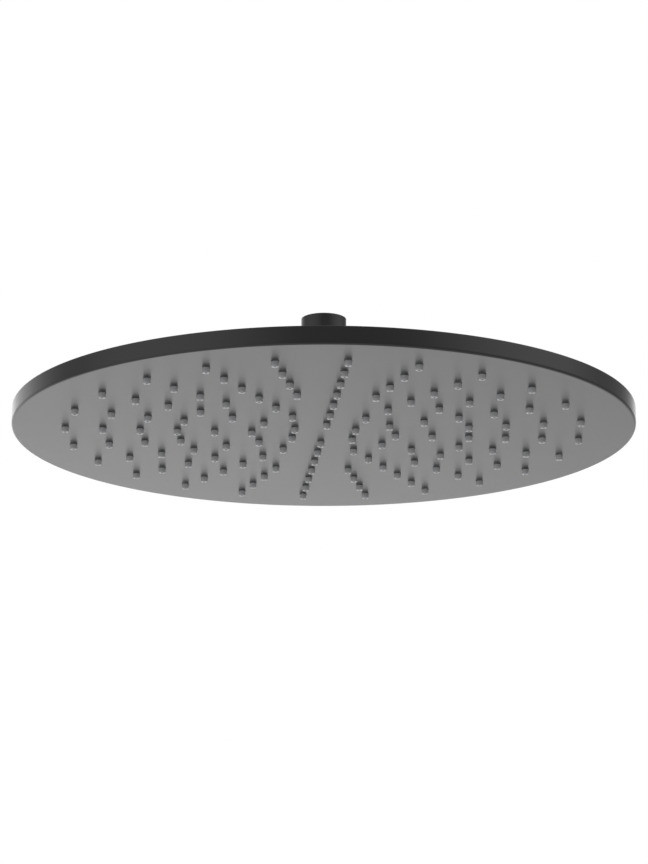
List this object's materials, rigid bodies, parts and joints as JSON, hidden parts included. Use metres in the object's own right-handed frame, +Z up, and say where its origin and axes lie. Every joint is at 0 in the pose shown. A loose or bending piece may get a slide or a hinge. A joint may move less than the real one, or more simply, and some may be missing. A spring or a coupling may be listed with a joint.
{
  "type": "rain shower head",
  "caption": "Flat round black rain shower head with grey silicone nozzles on rings, hung on a tilting ball joint with a swivelling threaded inlet nut.",
  "frame": {"origin": "centre of the inlet's mouth, at the top of the inlet nut", "axes": "+Z up along the supply pipe, away from the spray face; X and Y lie level, in the plane of the head"},
  "size_m": [0.3018, 0.3018, 0.0602],
  "materials": {
    "black_finish": "satin black coating on aluminium and brass",
    "grey_silicone": "matt grey silicone",
    "black_rubber": "matt black rubber",
    "stainless_steel": "plain stainless steel",
    "black_steel": "blackened steel",
    "white_plastic": "matt white acetal"
  },
  "bodies": {
    "inlet": {"inlet_nut": "black_finish", "flow_limiter": "white_plastic", "inlet_strainer": "stainless_steel", "inlet_washer": "black_rubber"},
    "stud": {"ball_stud": "black_finish", "swivel_seal": "black_rubber", "retaining_ring": "stainless_steel"},
    "head": {"spray_pan": "black_finish", "nozzle_mat": "grey_silicone", "pressure_plate": "white_plastic", "top_cover": "black_finish", "perimeter_seal": "black_rubber", "cover_screws": "black_steel", "hub": "black_finish", "hub_seal": "black_rubber", "hub_screws": "stainless_steel", "seat_washer": "black_rubber", "ball_seat": "white_plastic", "friction_ring": "white_plastic", "cap_nut": "black_finish"}
  },
  "joints": [
    {"name": "swivel", "type": "hinge", "parent": "inlet", "child": "stud", "pos_m": [0, 0, -0.0181], "axis": [0, 0, 1], "continuous": true},
    {"name": "tilt", "type": "hinge", "parent": "stud", "child": "head", "pos_m": [0, 0, -0.036], "axis": [1, 0, 0], "range_deg": [-15, 15]}
  ]
}
